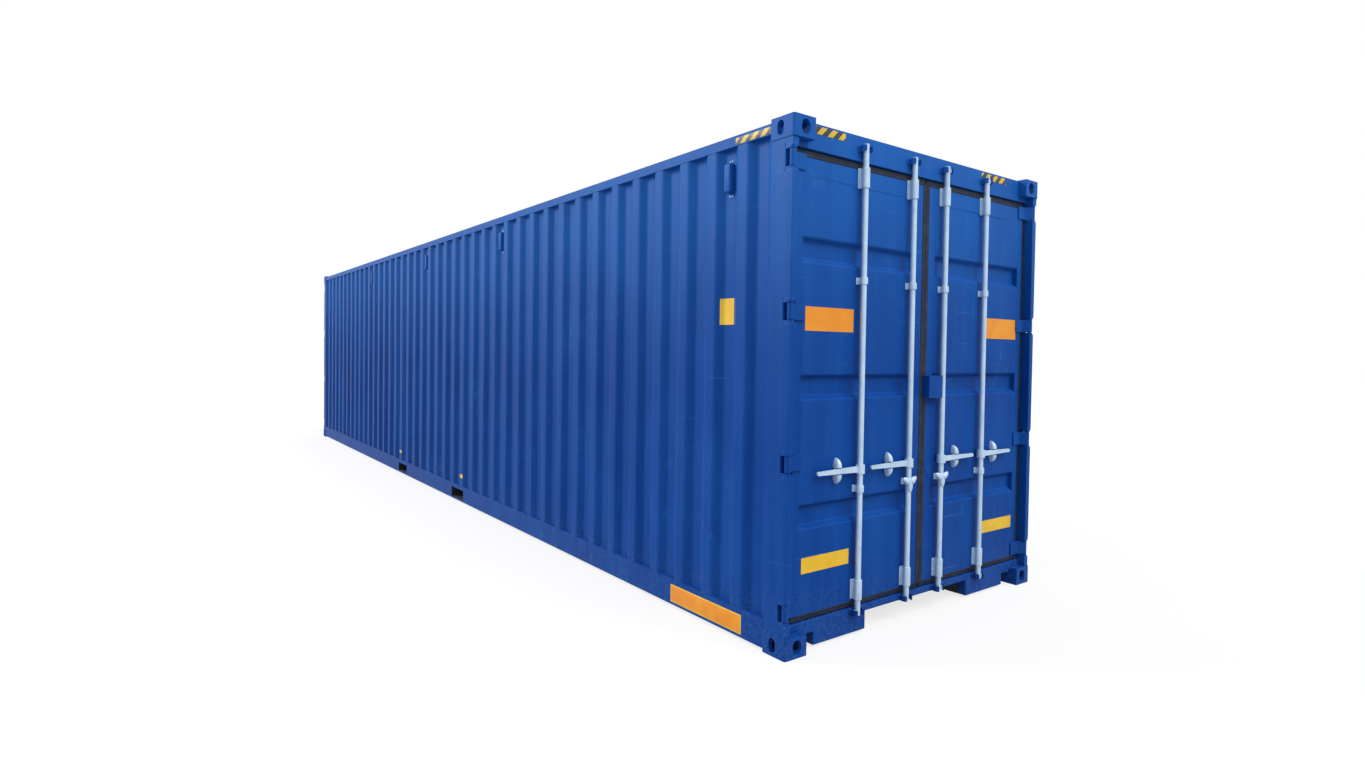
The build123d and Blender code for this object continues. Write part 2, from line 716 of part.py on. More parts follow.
# Ventilators in recesses of the side walls
with BuildPart() as ventilators:
    for recess in vent_recesses:
        for side in (-1, 1):
            with Locations((recess_centre(recess), side * (wall_side - wall_depth / 2), vent_centre)):
                Box(vent_width, wall_depth, vent_height)
ventilators.part.label = "ventilators"
export_step(ventilators.part, "parts/ventilators.step")


def far_copy(name, pieces, both_sides):
    """Write the far end's copy of pieces, mirrored through the middle."""
    with BuildPart() as far_piece:
        for piece in pieces:
            mirror(piece, about=Plane.YZ)
        if both_sides:
            mirror(far_piece.part, about=Plane.XZ)
    far_piece.part.label = name
    export_step(far_piece.part, f"parts/{name}.step")


# The far end: the same door end with a plain sill, fixed shut
far_copy("far_bottom_castings", [near_bottom_castings.part], False)
far_copy("far_top_castings", [near_top_castings.part], False)
far_copy("far_posts", [near_posts.part], False)
far_copy("far_hinge_lugs", [near_hinge_lugs.part], False)
far_copy("far_header", [near_header.part], False)
far_copy("far_keepers", [near_keepers.part], False)
far_copy("far_door_frames", [door_frame.part], True)
far_copy("far_door_panels", [door_panel.part], True)
far_copy("far_gaskets", [door_gasket.part], True)
far_copy("far_hinge_blades", [hinge_blades.part], True)
far_copy("far_rod_bearings", [rod_bearings.part], True)
far_copy("far_handle_catches", [handle_catches.part], True)
far_copy("far_rods", rod_parts, False)
far_copy("far_handles", handle_parts, False)
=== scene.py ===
# %% [markdown]
# A forty-foot high-cube shipping container, seen from its door end. The frame
# holds the plain solids of every piece. This lesson rounds their edges, makes
# the pressed sheets again with soft folds, adds the small fasteners and the
# marks, and mixes a paint for each finish.

# %% Load the frame
import json
from math import cos, pi, radians, sin

import bmesh
import bpy
import numpy as np
from mathutils import Matrix


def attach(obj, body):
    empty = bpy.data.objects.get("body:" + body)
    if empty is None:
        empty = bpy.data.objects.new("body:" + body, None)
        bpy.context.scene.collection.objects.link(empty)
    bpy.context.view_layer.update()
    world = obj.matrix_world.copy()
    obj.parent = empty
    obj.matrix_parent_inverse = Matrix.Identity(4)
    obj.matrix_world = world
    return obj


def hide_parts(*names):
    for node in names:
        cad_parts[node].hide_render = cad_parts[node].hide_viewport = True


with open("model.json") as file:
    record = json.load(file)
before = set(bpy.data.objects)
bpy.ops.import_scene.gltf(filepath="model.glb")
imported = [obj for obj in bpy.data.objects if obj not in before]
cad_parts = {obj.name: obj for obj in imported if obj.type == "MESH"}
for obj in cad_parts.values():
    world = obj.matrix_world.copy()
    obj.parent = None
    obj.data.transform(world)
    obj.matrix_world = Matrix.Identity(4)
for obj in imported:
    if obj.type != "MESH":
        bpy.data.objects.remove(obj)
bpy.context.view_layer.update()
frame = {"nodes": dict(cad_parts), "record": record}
nodes = frame["nodes"]
bodies = frame["record"]["behaviour"]["bodies"]
home = {node: body for body, members in bodies.items() for node in members}
slot_of = {part["node"]: part["material_slot"] for part in frame["record"]["subparts"]}
chance = np.random.default_rng(40)
print("nodes:", len(nodes), "bodies:", list(bodies))

# %% [markdown]
# The camera stands near the door end, a little above half the height, and its
# wide lens makes the long side run quickly away. Three angles turn it: the
# heading, the tilt and a small roll. A small shift moves the picture on the
# sensor, as cropping a photograph does.

# %% Camera
camera_place = (8.9188, -3.9338, 1.6381)
heading = 0.6576
tilt = -0.0230
roll = 0.0154


def turned_axes(heading, tilt, roll):
    """Right, up and forward of a camera that looks towards -X at heading 0.

    Forward is the unit vector at the heading and tilt. Right is level and
    square to it, and up is their cross product. The roll then mixes right
    and up by its cosine and sine.
    """
    forward = np.array([-cos(tilt) * cos(heading), cos(tilt) * sin(heading), sin(tilt)])
    level = np.array([sin(heading), cos(heading), 0.0])
    upright = np.cross(level, forward)
    right = cos(roll) * level + sin(roll) * upright
    return right, np.cross(right, forward), forward


right, up, forward = turned_axes(heading, tilt, roll)
camera_data = bpy.data.cameras.new("camera")
camera_data.lens = 19.59
camera_data.sensor_width = 36.0
camera_data.shift_x = -0.01946
camera_data.shift_y = -0.01095
camera_data.clip_end = 200.0
camera = bpy.data.objects.new("camera", camera_data)
bpy.context.scene.collection.objects.link(camera)
turn = np.stack([right, up, -forward], axis=1)
camera.matrix_world = Matrix.Translation(camera_place) @ Matrix(turn.tolist()).to_4x4()
bpy.context.scene.camera = camera
print("camera looks along", forward.round(3))

# %% [markdown]
# A finish is a small tree of shader nodes. Written node by node it would be
# long, so a number that changes over the surface is wrapped in a class that
# knows Python's own signs: a sum of two fields adds a Math node. Everything
# else comes from one method that takes a node's type, settings and sockets.

# %% Shader fields and finishes


def connect(tree, slot, value):
    """Link a field to a socket, or set a plain value on it."""
    if isinstance(value, Field):
        tree.links.new(value.socket, slot)
    else:
        slot.default_value = value


class Field:
    """A number or colour that changes over a surface: one socket of a tree."""

    def __init__(self, tree, socket):
        self.tree = tree
        self.socket = socket

    def math(self, operation, *values):
        node = self.tree.nodes.new("ShaderNodeMath")
        node.operation = operation
        for slot, value in zip(node.inputs, values):
            connect(self.tree, slot, value)
        return Field(self.tree, node.outputs[0])

    def __add__(self, other):
        return self.math("ADD", self, other)

    def __sub__(self, other):
        return self.math("SUBTRACT", self, other)

    def __rsub__(self, other):
        return self.math("SUBTRACT", other, self)

    def __mul__(self, other):
        return self.math("MULTIPLY", self, other)

    def __truediv__(self, other):
        return self.math("DIVIDE", self, other)

    __radd__ = __add__
    __rmul__ = __mul__


class Tree:
    """A tree of shader nodes that starts empty."""

    def __init__(self, owner):
        owner.use_nodes = True
        self.tree = owner.node_tree
        self.tree.nodes.clear()

    def node(self, kind, settings=None, sockets=None):
        """Add a node of a type, with its settings and then its sockets."""
        node = self.tree.nodes.new(kind)
        for key, value in (settings or {}).items():
            setattr(node, key, value)
        for key, value in (sockets or {}).items():
            connect(self.tree, node.inputs[key], value)
        return node

    def field(self, kind, settings=None, sockets=None, output=0):
        return Field(self.tree, self.node(kind, settings, sockets).outputs[output])

    def rays(self, mirrored):
        """1 for rays from the camera, and a share for mirrored and refracted ones."""
        path = self.node("ShaderNodeLightPath")
        seen, glossy, through = (Field(self.tree, path.outputs[name]) for name in
                                 ("Is Camera Ray", "Is Glossy Ray", "Is Transmission Ray"))
        total = seen + (glossy + through) * mirrored
        return total.math("MINIMUM", total, 1.0)

    def output(self, kind, shader):
        """Join a shader to the tree's output."""
        self.node(kind, {}, {"Surface": shader})


class Finish(Tree):
    """A material with object coordinates and one principled shader."""

    def __init__(self, name):
        self.material = bpy.data.materials.new(name)
        super().__init__(self.material)
        self.place = self.field("ShaderNodeTexCoord", output="Object")
        split = self.node("ShaderNodeSeparateXYZ", {}, {0: self.place})
        self.x, self.y, self.z = (Field(self.tree, out) for out in split.outputs)

    def noise(self, scale, detail=3.0, stretch=(1.0, 1.0, 1.0), rough=0.5):
        """Cloudy noise of a size, stretched along the axes."""
        place = self.field("ShaderNodeMapping", {}, {"Vector": self.place, "Scale": stretch})
        return self.field("ShaderNodeTexNoise", {}, {"Vector": place, "Scale": scale,
                                                     "Detail": detail, "Roughness": rough})

    def step(self, value, low, high):
        """0 below low, 1 above high, and a smooth rise between them."""
        return self.field("ShaderNodeMapRange", {"interpolation_type": "SMOOTHSTEP"},
                          {"Value": value, "From Min": low, "From Max": high})

    def blend(self, factor, under, over):
        """The colour under, with the colour over laid on it by the factor."""
        return self.field("ShaderNodeMix", {"data_type": "RGBA"},
                          {0: factor, 6: under, 7: over}, output=2)

    def bump(self, height, distance, below=None):
        sockets = {"Strength": 1.0, "Distance": distance, "Height": height}
        if below is not None:
            sockets["Normal"] = below
        return self.field("ShaderNodeBump", {}, sockets)

    def coat(self, **sockets):
        """The principled shader with its sockets, joined to the output."""
        names = {key.replace("_", " ").title().replace("Ior", "IOR"): value for key, value in sockets.items()}
        self.output("ShaderNodeOutputMaterial", self.field("ShaderNodeBsdfPrincipled", {}, names))
        return self


def colour(red, green, blue):
    """A colour written as 0 to 255 in each channel, as linear light."""
    part = np.array([red, green, blue]) / 255.0
    linear = np.where(part <= 0.04045, part / 12.92, ((part + 0.055) / 1.055) ** 2.4)
    return (*linear.tolist(), 1.0)


print("a middle blue in linear light:", np.round(colour(40, 90, 165), 3))

# %% [markdown]
# The blue paint is sprayed on blasted steel and has lost its first gloss. It
# is not one blue: it is painted paler towards the roof, a painted light from
# above, with broad clouds of slight fading, fine vertical streaks that rain
# leaves, scuffs from handling and a film of dust near the ground. Its shader
# mirrors little, because a white sky in a strong mirror would wash the blue out.

# %% Blue paint
paint_blue = Finish("paint_blue")
paint_clouds = paint_blue.step(paint_blue.noise(1.3, 3.0), 0.3, 0.7)
paint_streaks = paint_blue.step(paint_blue.noise(11.0, 4.0, (1.0, 1.0, 0.06)), 0.35, 0.75)
# Painted light: the blue grows paler with height, as if lit from above; the clouds and streaks are real
# fading.
painted_top_light = paint_blue.step(paint_blue.z, 1.3, 2.95)
fade_and_painted_light = painted_top_light * 0.62 + paint_clouds * 0.2 + paint_streaks * 0.16
paint_tone = paint_blue.blend(fade_and_painted_light, colour(1, 60, 139), colour(30, 98, 181))
scuff_area = paint_blue.step(paint_blue.noise(2.4, 5.0, rough=0.6), 0.56, 0.72)
scuff_marks = paint_blue.step(paint_blue.noise(26.0, 5.0, (1.0, 1.0, 0.5), rough=0.7), 0.5, 0.66)
paint_tone = paint_blue.blend(scuff_area * scuff_marks * 0.32, paint_tone, colour(64, 124, 194))
scratches = paint_blue.step(paint_blue.noise(34.0, 2.0, (0.05, 0.05, 1.0)), 0.7, 0.74)
paint_tone = paint_blue.blend(scratches * 0.12, paint_tone, colour(90, 134, 196))
dust_grains = paint_blue.step(paint_blue.noise(45.0, 5.0, rough=0.7), 0.42, 0.8)
dust = (1 - paint_blue.step(paint_blue.z, 0.0, 0.5)) * dust_grains
paint_tone = paint_blue.blend(dust * 0.28, paint_tone, colour(120, 128, 136))
dimples = paint_blue.bump(paint_blue.noise(240.0, 2.0), 0.0001)
paint_blue.coat(base_color=paint_tone, roughness=0.46 + paint_clouds * 0.08 + dust * 0.3,
                specular_ior_level=0.1,
                normal=paint_blue.bump(paint_blue.noise(3.2, 2.0), 0.003, below=dimples))
print("nodes in the blue paint:", len(paint_blue.tree.nodes))

# %% [markdown]
# The lock gear is hot-dip galvanised: a pale, slightly blue zinc skin with
# soft crystals, duller where it has weathered. The crystals come from a
# Voronoi texture, whose cells each have one grey.

# %% Galvanised steel
zinc = Finish("galvanised_zinc")
crystals = zinc.field("ShaderNodeTexVoronoi", {}, {"Vector": zinc.place, "Scale": 120.0}, output=1)
crystal_tone = zinc.field("ShaderNodeSeparateXYZ", {}, {0: crystals})
weather = zinc.step(zinc.noise(9.0, 5.0, rough=0.65), 0.35, 0.75)
zinc_colour = zinc.blend(crystal_tone * 0.18 + weather * 0.4, colour(196, 220, 242), colour(152, 180, 206))
zinc.coat(base_color=zinc_colour, metallic=0.35, roughness=0.42 + weather * 0.16 + crystal_tone * 0.04,
          normal=zinc.bump(zinc.noise(160.0, 3.0), 0.00015))
print("nodes in the zinc:", len(zinc.tree.nodes))

# %% [markdown]
# Rubber gaskets are nearly black, matt and a little chalky where the sun has
# reached them. The underside wears a thick black coating, and the floor is
# oiled plywood with its grain along the boards.

# %% Rubber, underbody coating and plywood
rubber = Finish("gasket_rubber")
chalk = rubber.step(rubber.noise(18.0, 5.0), 0.4, 0.8)
rubber.coat(base_color=rubber.blend(chalk, colour(32, 38, 54), colour(52, 58, 74)), specular_ior_level=0.2,
            roughness=0.62 + chalk * 0.15, normal=rubber.bump(rubber.noise(220.0), 0.0002))

underbody = Finish("underbody_coating")
grit = underbody.step(underbody.noise(40.0, 6.0, rough=0.7), 0.35, 0.8)
underbody.coat(base_color=underbody.blend(grit, colour(22, 25, 31), colour(58, 60, 64)),
               roughness=0.75 + grit * 0.1, normal=underbody.bump(underbody.noise(90.0, 5.0), 0.0008))

plywood = Finish("plywood")
grain = plywood.noise(30.0, 6.0, (0.06, 1.0, 1.0), rough=0.65)
wear = plywood.step(plywood.noise(2.0, 5.0), 0.4, 0.7)
plywood_tone = plywood.blend(plywood.step(grain, 0.3, 0.7), colour(120, 84, 52), colour(160, 120, 80))
board_joint = (plywood.y + 1.2) / 0.6
board_edge = board_joint.math("PINGPONG", board_joint, 0.5)
groove = 1 - plywood.step(board_edge, 0.0, 0.008)
plywood_tone = plywood.blend(wear * 0.4, plywood_tone, colour(96, 80, 66))
plywood.coat(base_color=plywood.blend(groove, plywood_tone, colour(40, 30, 22)),
             roughness=0.55 + wear * 0.2, normal=plywood.bump(grain * 0.3 - groove, 0.0015))
print("nodes in the plywood:", len(plywood.tree.nodes))

# %% [markdown]
# Plates and stickers are plain: orange or yellow foil with a fine grain. The
# hazard marks have dark stripes that slant to the right as they rise, so a
# stripe is where x + y - z, counted in pitches, has a fraction over a half.

# %% Foils and hazard stripes


def foil(name, tone, faded):
    finish = Finish(name)
    fading = finish.step(finish.noise(7.0, 5.0), 0.35, 0.75)
    return finish.coat(base_color=finish.blend(fading, tone, faded), roughness=0.42 + fading * 0.12,
                       normal=finish.bump(finish.noise(300.0), 0.0001))


foil_orange = foil("foil_orange", colour(228, 138, 14), colour(236, 156, 34))
foil_yellow = foil("foil_yellow", colour(226, 178, 24), colour(234, 192, 52))
stripe_pitch = 0.085

hazard = Finish("hazard_stripes")
slant = (hazard.x + hazard.y - hazard.z) / stripe_pitch
phase = slant.math("FRACT", slant)
dark = hazard.step(phase, 0.49, 0.51)
hazard_worn = hazard.step(hazard.noise(40.0, 5.0, rough=0.7), 0.3, 0.8)
stripe_yellow = hazard.blend(hazard_worn, colour(216, 182, 34), colour(200, 168, 54))
hazard.coat(base_color=hazard.blend(dark, stripe_yellow, colour(38, 44, 58)), roughness=0.45)
print("finishes:", len(bpy.data.materials))

# %% [markdown]
# Small helpers turn arrays of points into pieces. A shape is a grid of points,
# rows by columns, that may close on itself. Grids are gathered in a form, and
# the form becomes one mesh that rides on its body.

# %% Grids and forms


def grid_faces(rows, columns, round_rows, round_columns):
    """Quads between neighbours of a grid, whose last row or column may meet the first."""
    row = np.arange(rows if round_rows else rows - 1)
    column = np.arange(columns if round_columns else columns - 1)
    row, column = np.meshgrid(row, column, indexing="ij")
    next_row, next_column = (row + 1) % rows, (column + 1) % columns
    corners = [row * columns + column, row * columns + next_column,
               next_row * columns + next_column, next_row * columns + column]
    return np.stack(corners, axis=-1).reshape(-1, 4)


class Form:
    """Grids of points that become one mesh."""

    def __init__(self):
        self.points = []
        self.faces = []
        self.count = 0

    def add(self, points, round_rows=False, round_columns=False, ends=False):
        """Add a grid of shape (rows, columns, 3), and close its end rows if asked."""
        rows, columns = points.shape[:2]
        faces = grid_faces(rows, columns, round_rows, round_columns) + self.count
        self.faces += faces.tolist()
        if ends:
            first = self.count + np.arange(columns)
            self.faces.append(first[::-1].tolist())
            self.faces.append((first + (rows - 1) * columns).tolist())
        self.points.append(points.reshape(-1, 3))
        self.count += rows * columns
        return self

    def piece(self, name, finish, body, slot, replaced=(), sharp=38, outwards=True):
        """Make the mesh, turn its faces outwards and let it ride on a body."""
        mesh = bpy.data.meshes.new(name)
        mesh.from_pydata(np.concatenate(self.points).tolist(), [], self.faces)
        if outwards:
            work = bmesh.new()
            work.from_mesh(mesh)
            bmesh.ops.recalc_face_normals(work, faces=work.faces)
            work.to_mesh(mesh)
            work.free()
        return settle(name, mesh, finish, body, replaced, sharp)


def settle(name, mesh, finish, body, replaced=(), sharp=38):
    """Shade a mesh, give it its finish and hang it on its body."""
    mesh.materials.clear()
    mesh.materials.append(finish.material)
    mesh.shade_smooth()
    mesh.set_sharp_from_angle(angle=radians(sharp))
    piece = bpy.data.objects.new(name, mesh)
    bpy.context.scene.collection.objects.link(piece)
    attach(piece, body)
    if replaced:
        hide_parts(*replaced)
    return piece


def lathe(profile, sides=24):
    """Turn (radius, height) pairs about the third axis: a grid of rings."""
    radius, height = np.array(profile, float).T
    angle = np.linspace(0, 2 * pi, sides, endpoint=False)
    x = radius[:, None] * np.cos(angle)
    y = radius[:, None] * np.sin(angle)
    return np.stack([x, y, np.broadcast_to(height[:, None], x.shape)], axis=-1)


def laid(points, origin, across, upward):
    """Carry local points to a place, with their third axis square to the two given."""
    across, upward = np.array(across, float), np.array(upward, float)
    axes = np.stack([across, upward, np.cross(across, upward)])
    return np.array(origin, float) + points @ axes


def rounded_outline(width, height, corner, steps=5):
    """A rectangle whose corners are quarter circles, as points in a ring."""
    angle = np.linspace(0, pi / 2, steps)
    quarter = np.arange(4)[:, None] * pi / 2 + angle
    middle_x = np.array([1, -1, -1, 1])[:, None] * (width / 2 - corner)
    middle_y = np.array([1, 1, -1, -1])[:, None] * (height / 2 - corner)
    x = middle_x + corner * np.cos(quarter)
    y = middle_y + corner * np.sin(quarter)
    return np.stack([x.ravel(), y.ravel()], axis=-1)


def plate(width, height, thick, corner, edge=None, steps=5):
    """A flat plate with a soft upper edge: outlines that shrink as they rise."""
    edge = min(thick * 0.6, 0.002) if edge is None else edge
    bend = np.linspace(0, pi / 2, 4)
    inset = np.concatenate([[0.0], edge * (1 - np.cos(bend))])
    rise = np.concatenate([[0.0], thick - edge + edge * np.sin(bend)])
    rings = [rounded_outline(width - 2 * i, height - 2 * i, max(corner - i, 0.0001), steps) for i in inset]
    return np.stack([np.column_stack([ring, np.full(len(ring), h)]) for ring, h in zip(rings, rise)])


print("a plate's grid:", plate(0.1, 0.05, 0.003, 0.01).shape)

# %% [markdown]
# Most pieces are right as solids, but a solid's edges are perfectly sharp and
# catch no light. Each is copied, its loose triangles are merged, its flat
# faces are joined again, and a Bevel modifier rounds what is left. The cam
# keepers are galvanised too, but they were welded on before the spraying.

# %% Dressed solids


def dress(node, round_edge, finish, segments=2):
    """Copy a node's mesh, merge it, and round its edges by a radius."""
    mesh = nodes[node].data.copy()
    work = bmesh.new()
    work.from_mesh(mesh)
    bmesh.ops.remove_doubles(work, verts=work.verts, dist=0.00001)
    bmesh.ops.dissolve_limit(work, angle_limit=radians(1), verts=work.verts, edges=work.edges)
    work.to_mesh(mesh)
    work.free()
    if "custom_normal" in mesh.attributes:
        mesh.attributes.remove(mesh.attributes["custom_normal"])
    piece = settle(f"{node}_dressed", mesh, finish, home[node], [node])
    if round_edge:
        bevel = piece.modifiers.new("rounded_edges", "BEVEL")
        bevel.width = round_edge
        bevel.segments = segments
        bevel.limit_method = "ANGLE"
        bevel.angle_limit = radians(32)
        bevel.use_clamp_overlap = True
        bevel.harden_normals = False
    return piece


edges = {
    "castings": (0.008, 3), "posts": (0.003, 2), "header": (0.003, 2), "sill": (0.004, 2),
    "hinge_lugs": (0.002, 2), "top_rails": (0.002, 2), "bottom_rails": (0.002, 2),
    "door_frame": (0.002, 2), "hinge_blades": (0.003, 2), "lock_box": (0.005, 3),
}
zinc_edges = {"keepers": (0.002, 2), "rod_bearings": (0.002, 2), "handle": (0.003, 3),
              "handles": (0.003, 3), "_rod": (0.002, 2), "rods": (0.002, 2)}
gasket_edge = 0.005


def edge_for(node, table):
    """The rounding of the first word of a table that a node's name holds."""
    for word, rounding in table.items():
        if word in node:
            return rounding
    return None


for node in sorted(nodes):
    painted, galvanised = edge_for(node, edges), edge_for(node, zinc_edges)
    if slot_of[node] == "painted_steel" and painted:
        dress(node, painted[0], paint_blue, painted[1])
    elif slot_of[node] == "galvanised_steel" and "catches" not in node:
        dress(node, galvanised[0], paint_blue if "keepers" in node else zinc, galvanised[1])
    elif slot_of[node] == "gasket_rubber":
        dress(node, gasket_edge, rubber, 3)

# %% [markdown]
# The walls and the door panels are sheets pressed into trapezoid folds. A
# press can't make a sharp fold, so each corner of the wave is rounded: two
# points on its arms and the corner itself steer a smooth curve, worked out
# for all the corners at once. Slow dents of a millimetre keep the flats from
# looking like glass. The corners are read from the solid's own section.

# %% Pressed sheets


def rounded_line(corners, reach, steps=5):
    """Replace each inner corner of a line by a curve between its two arms.

    The curve starts and ends the reach away from the corner on its arms, and
    its points are (1-s)^2 start + 2s(1-s) corner + s^2 end. One more point a
    little way along each arm keeps the shading of the flats flat.
    """
    middle = corners[1:-1]
    arm_in = (corners[:-2] - middle) / np.linalg.norm(corners[:-2] - middle, axis=1, keepdims=True)
    arm_out = (corners[2:] - middle) / np.linalg.norm(corners[2:] - middle, axis=1, keepdims=True)
    s = np.linspace(0, 1, steps)[None, :, None]
    bend = (middle[:, None] + (1 - s) ** 2 * reach * arm_in[:, None] + s ** 2 * reach * arm_out[:, None])
    before, after = middle + 1.35 * reach * arm_in, middle + 1.35 * reach * arm_out
    bend = np.concatenate([before[:, None], bend, after[:, None]], axis=1)
    return np.concatenate([corners[:1], bend.reshape(-1, 2), corners[-1:]])


def corner_points(node, side=0):
    """All the corners of a node's solid, or those on one side of the middle."""
    places = np.array([vertex.co for vertex in nodes[node].data.vertices])
    return np.unique(places[places[:, 1] * side >= 0].round(5), axis=0)


class PressedSheet:
    """A folded sheet: an outward coordinate over a folded and a plain one.

    The solid's section at the high end of the plain axis has pairs of corners,
    one on each face of the sheet, and the outer of each pair is kept.
    """

    def __init__(self, places, folded, plain, outward, way, reach):
        self.axes = [folded, plain, outward]
        self.way = way
        self.low, self.high = places[:, plain].min(), places[:, plain].max()
        section = places[places[:, plain] > self.high - 0.001]
        section = section[np.argsort(section[:, folded], kind="stable")].reshape(-1, 2, 3)
        outer = (way * section[:, :, outward]).max(axis=1) * way
        self.line = rounded_line(np.stack([section[:, 0, folded], outer], axis=-1), reach)
        self.swells = chance.uniform((1.5, 1.0, 0.0), (6.0, 5.0, 2 * pi), size=(7, 3)).T
        self.dent = 0.0011

    def height(self, folded, plain):
        """The folded line at a place, plus a mean of slow sine waves.

        The waves are sin(pull * folded + lift * plain + shift), they fade at
        the sheet's held edges, and the sheet lies in by twice a dent, so
        that no swell stands proud of the solid.
        """
        pull, lift, shift = self.swells
        phase = folded[..., None] * pull + plain[..., None] * lift + shift
        swell = np.sin(phase).sum(axis=-1) / len(pull) ** 0.5 - 2.0 * self.way
        ends = np.sin(pi * np.clip((plain - self.low) / (self.high - self.low), 0, 1)) ** 0.5
        return np.interp(folded, self.line[:, 0], self.line[:, 1]) + self.dent * swell * ends

    def points(self, folded, plain, proud=0.0):
        """The grid of points over two lists of places, moved outwards if asked."""
        folded, plain = np.meshgrid(folded, plain, indexing="ij")
        grid = np.empty((*folded.shape, 3))
        for axis, value in zip(self.axes, (folded, plain, self.height(folded, plain) + self.way * proud)):
            grid[..., axis] = value
        return grid if self.faces_out() else grid[::-1]

    def faces_out(self):
        """Whether columns turned into rows points outwards on this grid."""
        folded, plain, outward = np.eye(3)[self.axes]
        return np.dot(np.cross(plain, folded), outward) * self.way > 0


def thicken(piece, amount):
    """Give a sheet its thickness, behind the face that was drawn.

    An edge that belongs to one face alone is the sheet's border, which is
    marked sharp, so that the shading of the face doesn't bend over it.
    """
    mesh = piece.data
    edge_of_corner = np.empty(len(mesh.loops), int)
    mesh.loops.foreach_get("edge_index", edge_of_corner)
    border = np.bincount(edge_of_corner, minlength=len(mesh.edges)) == 1
    sharp = np.empty(len(mesh.edges), bool)
    mesh.edges.foreach_get("use_edge_sharp", sharp)
    mesh.edges.foreach_set("use_edge_sharp", sharp | border)
    thick = piece.modifiers.new("sheet", "SOLIDIFY")
    thick.thickness = amount
    thick.offset = -1.0
    return piece


sheet_thickness = 0.002
wall_fold = 0.013
walls = {}
for name, side in (("left_side_wall", -1), ("right_side_wall", 1)):
    walls[side] = PressedSheet(corner_points(name), 0, 2, 1, side, wall_fold)
    rise = np.linspace(walls[side].low, walls[side].high, 25)
    skin = Form().add(walls[side].points(walls[side].line[:, 0], rise))
    thicken(skin.piece(name + "_pressed", paint_blue, home[name], slot_of[name], [name], 50, False),
            sheet_thickness)
    print(name, "profile points:", len(walls[side].line), "rows:", len(rise))

# %% [markdown]
# A door's panel is pressed the same way, but its folds lie level. The two
# panels of the far end are one node, so they are also one piece here.

# %% Door panels
panel_fold = 0.009
panels = {}
for name, sides, way in (("left_door_panel", (-1,), 1), ("right_door_panel", (1,), 1),
                         ("far_door_panels", (-1, 1), -1)):
    skin = Form()
    for side in sides:
        panel = PressedSheet(corner_points(name, side), 2, 1, 0, way, panel_fold)
        skin.add(panel.points(panel.line[:, 0], np.linspace(panel.low, panel.high, 26)))
        panels[name, side] = panel
    thicken(skin.piece(name + "_pressed", paint_blue, home[name], slot_of[name], [name], 50, False),
            sheet_thickness)
    print(name, "leaves:", len(sides))

# %% [markdown]
# Each handle rests in a catch with an ear above it and one below. An ear is
# half a lens: its outline and its rise both shrink to nothing at the tip, and
# across it runs an arch that is fuller than a half round.

# %% Handle catches
ear_start = 0.021
ear_width = 0.040
ear_round = 0.55
foot_width, foot_lap, foot_thickness, foot_corner = 0.026, 0.012, 0.005, 0.004
catch_spacing = 0.1


def ear(start, length, width, depth, rows=9, columns=13):
    """Rings of (half cos(a), start + length * t, rise * sin(a)^0.55) for a from 0 to pi.

    Half the width and the rise fall off as (1 - t^2.3)^0.6 towards the tip.
    """
    t = np.linspace(0, 1, rows)[:, None] ** 0.7
    a = np.linspace(0, pi, columns)[None, :]
    shrink = np.maximum(1 - t ** 2.3, 0) ** 0.6 + 0.01
    arch = np.clip(np.sin(a), 0, 1) ** ear_round
    return np.stack([width / 2 * shrink * np.cos(a), start + length * t + 0 * a,
                     depth * shrink * arch], axis=-1)


for node, way in (("left_handle_catches", 1), ("right_handle_catches", 1), ("far_handle_catches", -1)):
    places = corner_points(node)
    across = np.unique(places[:, 1])
    groups = np.split(across, np.flatnonzero(np.diff(across) > catch_spacing) + 1)
    low, high = places[:, 2].min(), places[:, 2].max()
    face = places[:, 0].min() if way > 0 else places[:, 0].max()
    depth = places[:, 0].max() - places[:, 0].min()
    catch = Form()
    for group in groups:
        origin = (face, (group[0] + group[-1]) / 2, (low + high) / 2)
        foot = plate(foot_width, 2 * ear_start + foot_lap, foot_thickness, foot_corner)
        catch.add(laid(foot, origin, (0, way, 0), (0, 0, 1)), round_columns=True, ends=True)
        half_lens = ear(ear_start, (high - low) / 2 - ear_start, ear_width, depth)
        for up in (1, -1):
            catch.add(laid(half_lens, origin, (0, way * up, 0), (0, 0, up)), round_columns=True, ends=True)
    catch.piece(node + "_ears", zinc, home[node], slot_of[node], [node], 50)
    print(node, "catches:", len(groups))

# %% [markdown]
# The lower guide of each inner rod has three ears of its own: two lean out like
# wings and one points down. They stay with the guide when the rod turns.

# %% Guide wings
wing_height = 0.852
wing_start, wing_offset, wing_depth = 0.010, 0.010, 0.016
wing_leans = ((radians(62), 0.062), (radians(-62), 0.062), (pi, 0.054))
inner_within, inner_rod_y = 0.3, 0.165


def corner_name(side, way):
    """The words left or right and near or far, for a piece's name."""
    return f"{'left' if side < 0 else 'right'}_{'near' if way > 0 else 'far'}"


for rod, side, way, body in (("left_inner_rod", -1, 1, "left_leaf"), ("right_inner_rod", 1, 1, "right_leaf"),
                             ("far_rods", -1, -1, "container"), ("far_rods", 1, -1, "container")):
    places = corner_points(rod, side)
    inner = places[np.abs(places[:, 1]) < inner_within]
    middle = (inner[:, :2].min(axis=0) + inner[:, :2].max(axis=0)) / 2
    if way > 0:
        middle[1] = side * inner_rod_y
    origin = (middle[0] + way * wing_offset, middle[1], wing_height)
    wings = Form()
    for lean, length in wing_leans:
        across = way * np.array((0, cos(lean), -sin(lean)))
        wing = ear(wing_start, length, ear_width, wing_depth)
        wings.add(laid(wing, origin, across, (0, sin(lean), cos(lean))), round_columns=True, ends=True)
    wings.piece(corner_name(side, way) + "_guide_wings", zinc, body, "galvanised_steel", (), 50)
print("wings on a guide:", len(wing_leans))

